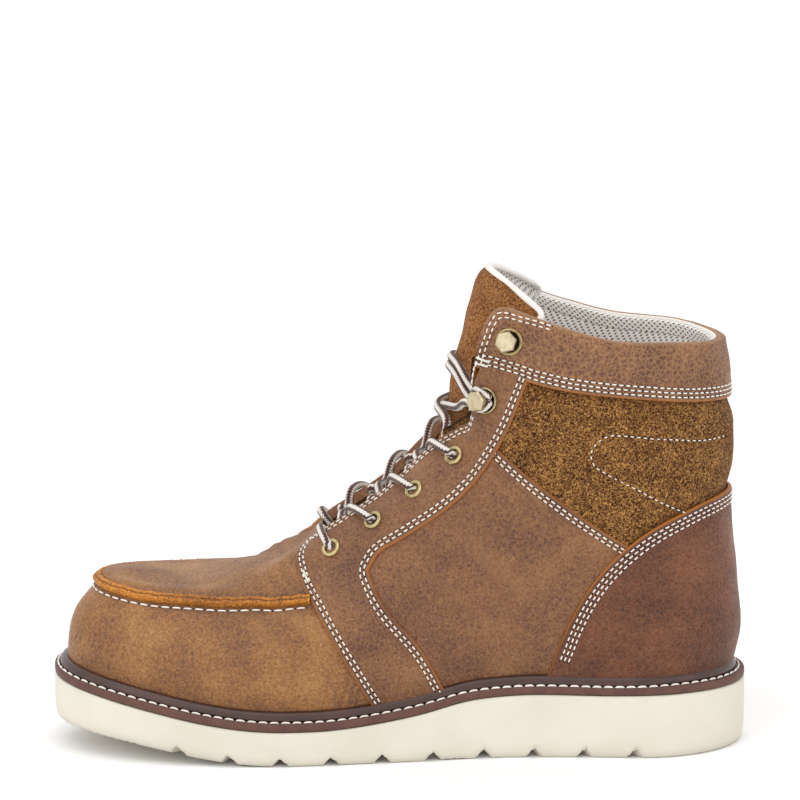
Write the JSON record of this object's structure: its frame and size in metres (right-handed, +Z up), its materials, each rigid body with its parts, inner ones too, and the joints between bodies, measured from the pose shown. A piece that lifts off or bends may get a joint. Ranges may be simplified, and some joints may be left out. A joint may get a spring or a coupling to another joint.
{
  "type": "wedge sole work boot",
  "caption": "Right lace-up ankle-high work boot with a moc toe, a padded collar and tongue, eyelets with speed hooks, and a white wedge sole.",
  "frame": {"origin": "on the floor under the middle of the sole's length, on the last's straight centre line", "axes": "+X towards the heel, +Y towards the outer side of the foot, +Z up"},
  "size_m": [0.31, 0.1119, 0.2162],
  "materials": {
    "cream_rubber": "matt",
    "welt_leather": "satin",
    "bead_leather": "polished",
    "insole_foam": "matt",
    "vamp_leather": "oiled full grain",
    "counter_leather": "oiled full grain",
    "eyestay_leather": "oiled full grain",
    "cut_edge_leather": "raw edge",
    "ankle_suede": "suede nap",
    "tongue_suede": "suede nap",
    "eyelet_brass": "antique",
    "hook_brass": "brushed",
    "washer_metal": "dark with a worn rim",
    "lace_cord": "braided"
  },
  "bodies": {
    "root": {"outsole": "cream_rubber", "welt": "welt_leather", "storm_bead": "bead_leather", "insole": "insole_foam", "upper": "vamp_leather", "ankle_panel": "ankle_suede", "plug": "vamp_leather", "moc_seam": "cut_edge_leather", "eyestay_inner": "eyestay_leather", "eyestay_outer": "eyestay_leather", "heel_counter": "counter_leather", "collar": "eyestay_leather", "tongue": "tongue_suede", "eyelet_inner_1": "eyelet_brass", "eyelet_inner_2": "eyelet_brass", "eyelet_inner_3": "eyelet_brass", "eyelet_inner_4": "eyelet_brass", "eyelet_outer_1": "eyelet_brass", "eyelet_outer_2": "eyelet_brass", "eyelet_outer_3": "eyelet_brass", "eyelet_outer_4": "eyelet_brass", "hook_washer_inner_1": "washer_metal", "hook_washer_inner_2": "washer_metal", "hook_washer_outer_1": "washer_metal", "hook_washer_outer_2": "washer_metal", "hook_stud_inner_1": "hook_brass", "hook_stud_inner_2": "hook_brass", "hook_stud_outer_1": "hook_brass", "hook_stud_outer_2": "hook_brass", "lace_bar": "lace_cord", "lace_crossing_1": "lace_cord", "lace_crossing_2": "lace_cord", "lace_crossing_3": "lace_cord", "lace_hook_crossing": "lace_cord", "lace_hook_pair": "lace_cord"}
  },
  "joints": []
}
